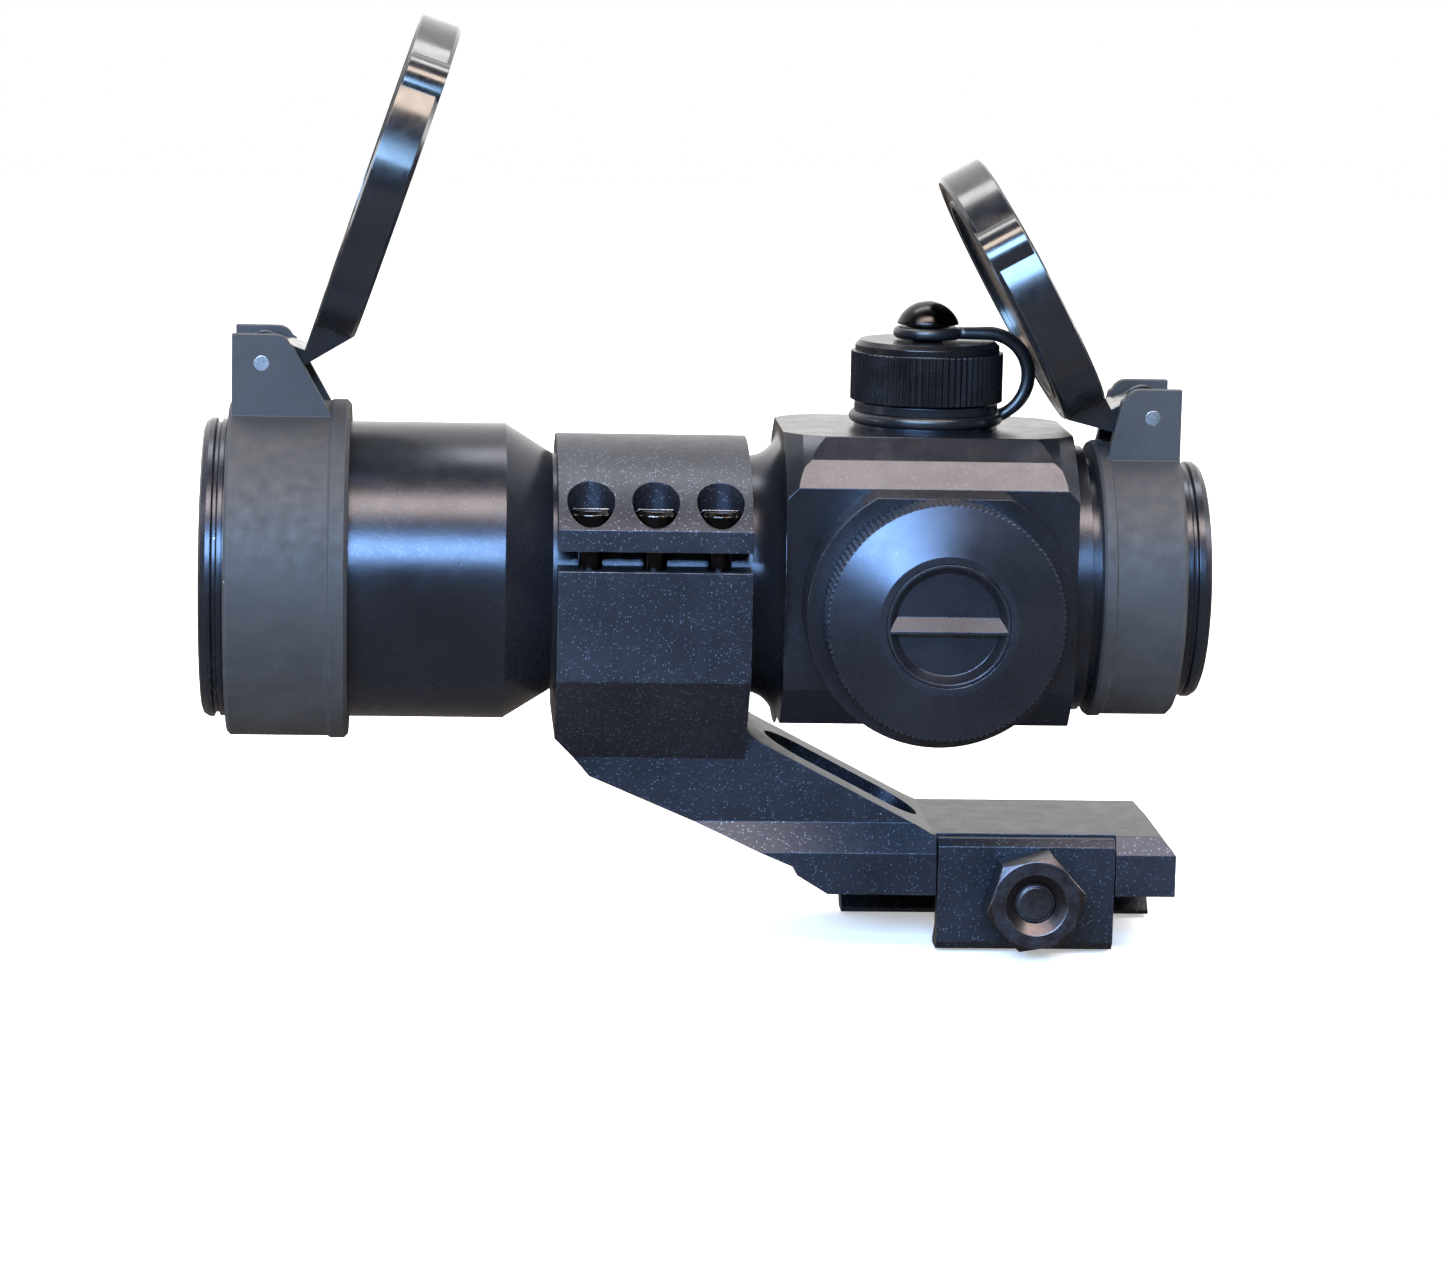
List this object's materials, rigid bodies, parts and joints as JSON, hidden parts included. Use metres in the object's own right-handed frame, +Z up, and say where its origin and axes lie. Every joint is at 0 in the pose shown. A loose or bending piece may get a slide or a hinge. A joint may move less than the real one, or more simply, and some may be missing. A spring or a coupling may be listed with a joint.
{
  "type": "red dot sight",
  "caption": "Tube red dot sight with flip-up lens covers, two capped turrets and a brightness knob, in a cantilever ring mount that clamps on an accessory rail.",
  "frame": {"origin": "rail seat plane, centre plane, over the axis of the cross bolt", "axes": "+X along the sight axis towards the eyepiece, +Z up from the rail, knob on the -Y side"},
  "size_m": [0.1262, 0.0682, 0.1157],
  "materials": {
    "housing_anodised": "satin black anodised, fine bead blast",
    "lens_red": "red-coated glass",
    "lens_clear": "green-coated glass",
    "spring_steel": "spring wire",
    "strap_rubber": "smooth black rubber",
    "board_green": "circuit board",
    "cover_rubbery": "matte dark grey",
    "pin_steel": "bright steel",
    "mount_anodised": "coarser bead-blasted black anodised",
    "black_screw": "black oxide",
    "dark_steel": "dark phosphated steel",
    "lid_plastic": "semi-gloss black",
    "knob_anodised": "satin black anodised, turned",
    "cell_steel": "plated",
    "seal_rubber": "matte",
    "cap_anodised": "satin black anodised, knurled",
    "dial_steel": "turned, slotted",
    "brass": "turned brass",
    "inner_black": "matte black",
    "led_red": "emitter"
  },
  "bodies": {
    "sight": {"main_housing": "housing_anodised", "objective_lens": "lens_red", "objective_lock_ring": "housing_anodised", "eyepiece_lens": "lens_clear", "eyepiece_lock_ring": "housing_anodised", "bias_spring": "spring_steel", "elevation_turret_base": "housing_anodised", "elevation_strap": "strap_rubber", "windage_turret_base": "housing_anodised", "windage_strap": "strap_rubber", "switch_housing": "housing_anodised", "switch_board": "board_green", "front_cover_ring": "cover_rubbery", "front_hinge_pin": "pin_steel", "front_hinge_spring": "spring_steel", "rear_cover_ring": "cover_rubbery", "rear_hinge_pin": "pin_steel", "rear_hinge_spring": "spring_steel", "mount_base": "mount_anodised", "ring_cap": "mount_anodised", "ring_screws": "black_screw", "cross_bolt": "dark_steel"},
    "front_lid": {"front_lid": "lid_plastic"},
    "rear_lid": {"rear_lid": "lid_plastic"},
    "brightness_knob": {"brightness_knob": "knob_anodised", "battery_cells": "cell_steel", "battery_spring": "spring_steel"},
    "battery_cap_seal": {"battery_cap_seal": "seal_rubber"},
    "battery_cap": {"battery_cap": "knob_anodised"},
    "elevation_cap_seal": {"elevation_cap_seal": "seal_rubber"},
    "elevation_cap": {"elevation_cap": "cap_anodised", "elevation_strap_screw": "black_screw"},
    "windage_cap_seal": {"windage_cap_seal": "seal_rubber"},
    "windage_cap": {"windage_cap": "cap_anodised", "windage_strap_screw": "black_screw"},
    "elevation_dial": {"elevation_dial": "dial_steel"},
    "elevation_plunger": {"elevation_plunger": "brass"},
    "windage_dial": {"windage_dial": "dial_steel"},
    "windage_plunger": {"windage_plunger": "brass"},
    "pivot_ring": {"pivot_ring": "brass"},
    "inner_tube": {"inner_tube": "inner_black", "led_emitter": "led_red"},
    "clamp_jaw": {"clamp_jaw": "mount_anodised"},
    "clamp_nut": {"clamp_nut": "dark_steel"}
  },
  "joints": [
    {"name": "front_lid_hinge", "type": "hinge", "parent": "sight", "child": "front_lid", "pos_m": [-0.0973, 0, 0.0664], "axis": [0, -1, 0], "range_deg": [0, 198.7], "stiffness_Nm_per_rad": 0.0015, "springref_deg": -34.38},
    {"name": "rear_lid_hinge", "type": "hinge", "parent": "sight", "child": "rear_lid", "pos_m": [0.01445, 0, 0.0611], "axis": [0, 1, 0], "range_deg": [0, 209], "stiffness_Nm_per_rad": 0.0015, "springref_deg": -34.38},
    {"name": "brightness_turn", "type": "hinge", "parent": "sight", "child": "brightness_knob", "pos_m": [-0.0136, -0.03, 0.0387], "axis": [0, -1, 0], "range_deg": [0, 300]},
    {"name": "battery_cap_lift", "type": "slide", "parent": "brightness_knob", "child": "battery_cap_seal", "axis": [0, -1, 0], "range_m": [0, 0.00225]},
    {"name": "battery_cap_turn", "type": "hinge", "parent": "battery_cap_seal", "child": "battery_cap", "pos_m": [-0.0136, -0.033, 0.0387], "axis": [0, -1, 0], "range_deg": [0, 1080.5]},
    {"name": "elevation_cap_lift", "type": "slide", "parent": "sight", "child": "elevation_cap_seal", "axis": [0, 0, 1], "range_m": [0, 0.004], "deforming": ["elevation_strap"]},
    {"name": "elevation_cap_turn", "type": "hinge", "parent": "elevation_cap_seal", "child": "elevation_cap", "pos_m": [-0.0136, 0, 0.0648], "axis": [0, 0, 1], "range_deg": [0, 1440.5]},
    {"name": "windage_cap_lift", "type": "slide", "parent": "sight", "child": "windage_cap_seal", "axis": [0, 1, 0], "range_m": [0, 0.004], "deforming": ["windage_strap"]},
    {"name": "windage_cap_turn", "type": "hinge", "parent": "windage_cap_seal", "child": "windage_cap", "pos_m": [-0.0136, 0.023, 0.0398], "axis": [0, 1, 0], "range_deg": [0, 1440.5]},
    {"name": "elevation_dial_turn", "type": "hinge", "parent": "sight", "child": "elevation_dial", "pos_m": [-0.0136, 0, 0.0648], "axis": [0, 0, 1], "range_deg": [-360.2, 360.2]},
    {"name": "elevation_plunger_travel", "type": "slide", "parent": "sight", "child": "elevation_plunger", "axis": [0, 0, 1], "range_m": [-0.0005, 0.0005]},
    {"name": "inner_tube_pitch", "type": "hinge", "parent": "sight", "child": "pivot_ring", "pos_m": [-0.054, 0, 0.0398], "axis": [0, -1, 0], "range_deg": [-0.71, 0.71]},
    {"name": "windage_dial_turn", "type": "hinge", "parent": "sight", "child": "windage_dial", "pos_m": [-0.0136, 0.023, 0.0398], "axis": [0, 1, 0], "range_deg": [-360.2, 360.2]},
    {"name": "windage_plunger_travel", "type": "slide", "parent": "sight", "child": "windage_plunger", "axis": [0, 1, 0], "range_m": [-0.0005, 0.0005]},
    {"name": "inner_tube_yaw", "type": "hinge", "parent": "pivot_ring", "child": "inner_tube", "pos_m": [-0.054, 0, 0.0398], "axis": [0, 0, 1], "range_deg": [-0.71, 0.71]},
    {"name": "clamp_jaw_slide", "type": "slide", "parent": "sight", "child": "clamp_jaw", "axis": [0, -1, 0], "range_m": [0, 0.0024]},
    {"name": "clamp_nut_turn", "type": "hinge", "parent": "clamp_jaw", "child": "clamp_nut", "pos_m": [0, -0.016, 0.0012], "axis": [0, -1, 0], "range_deg": [0, 1080.5]}
  ],
  "couplings": [
    {"joint": "battery_cap_turn", "follows": "battery_cap_lift", "rad_per_m": 8377.6},
    {"joint": "elevation_cap_turn", "follows": "elevation_cap_lift", "rad_per_m": 6283.2},
    {"joint": "windage_cap_turn", "follows": "windage_cap_lift", "rad_per_m": 6283.2},
    {"joint": "elevation_dial_turn", "follows": "elevation_plunger_travel", "rad_per_m": 12566},
    {"joint": "inner_tube_pitch", "follows": "elevation_plunger_travel", "rad_per_m": 24.752},
    {"joint": "windage_dial_turn", "follows": "windage_plunger_travel", "rad_per_m": 12566},
    {"joint": "inner_tube_yaw", "follows": "windage_plunger_travel", "rad_per_m": 24.752},
    {"joint": "clamp_nut_turn", "follows": "clamp_jaw_slide", "rad_per_m": 7854}
  ]
}
